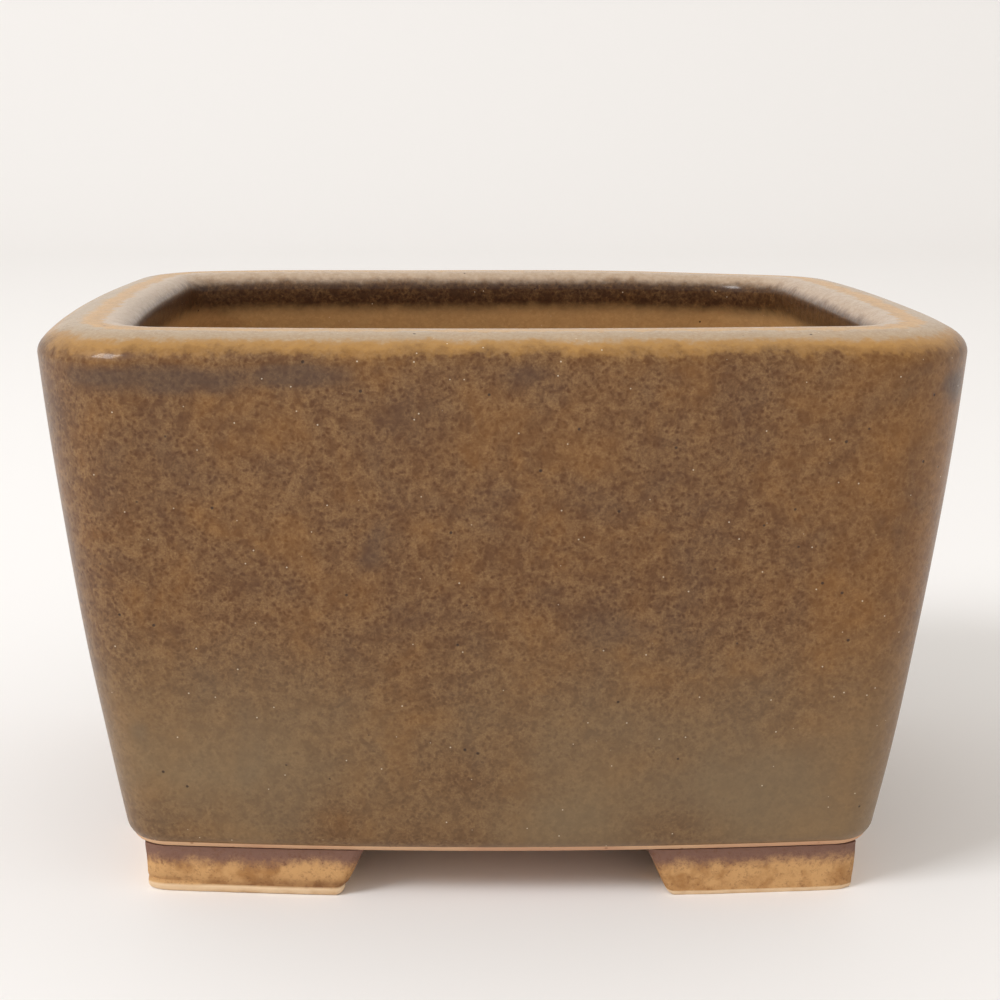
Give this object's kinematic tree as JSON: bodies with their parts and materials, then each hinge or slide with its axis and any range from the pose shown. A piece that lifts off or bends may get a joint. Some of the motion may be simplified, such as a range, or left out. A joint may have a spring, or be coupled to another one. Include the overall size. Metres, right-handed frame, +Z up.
{
  "type": "bonsai pot",
  "caption": "Small rectangular bonsai pot with bowed, tapering walls, a rolled inward lip, L-shaped corner feet, a drainage hole and tie-wire holes, glazed brown.",
  "frame": {"origin": "middle of the footprint on the surface that the feet stand on", "axes": "+X along the long side, to the right; -Y towards the front; +Z up, out of the mouth"},
  "size_m": [0.092, 0.078, 0.0576],
  "materials": {
    "bare_stoneware": "matt",
    "washed_stoneware": "matt",
    "brown_glaze": "satin gloss"
  },
  "bodies": {
    "root": {"floor_slab": "bare_stoneware", "floor_coil": "bare_stoneware", "wall_front": "bare_stoneware", "wall_right": "bare_stoneware", "wall_rear": "bare_stoneware", "wall_left": "bare_stoneware", "lip_front": "bare_stoneware", "lip_right": "bare_stoneware", "lip_rear": "bare_stoneware", "lip_left": "bare_stoneware", "foot_front_left": "washed_stoneware", "foot_front_right": "washed_stoneware", "foot_rear_left": "washed_stoneware", "foot_rear_right": "washed_stoneware", "glaze_coat": "brown_glaze"}
  },
  "joints": []
}
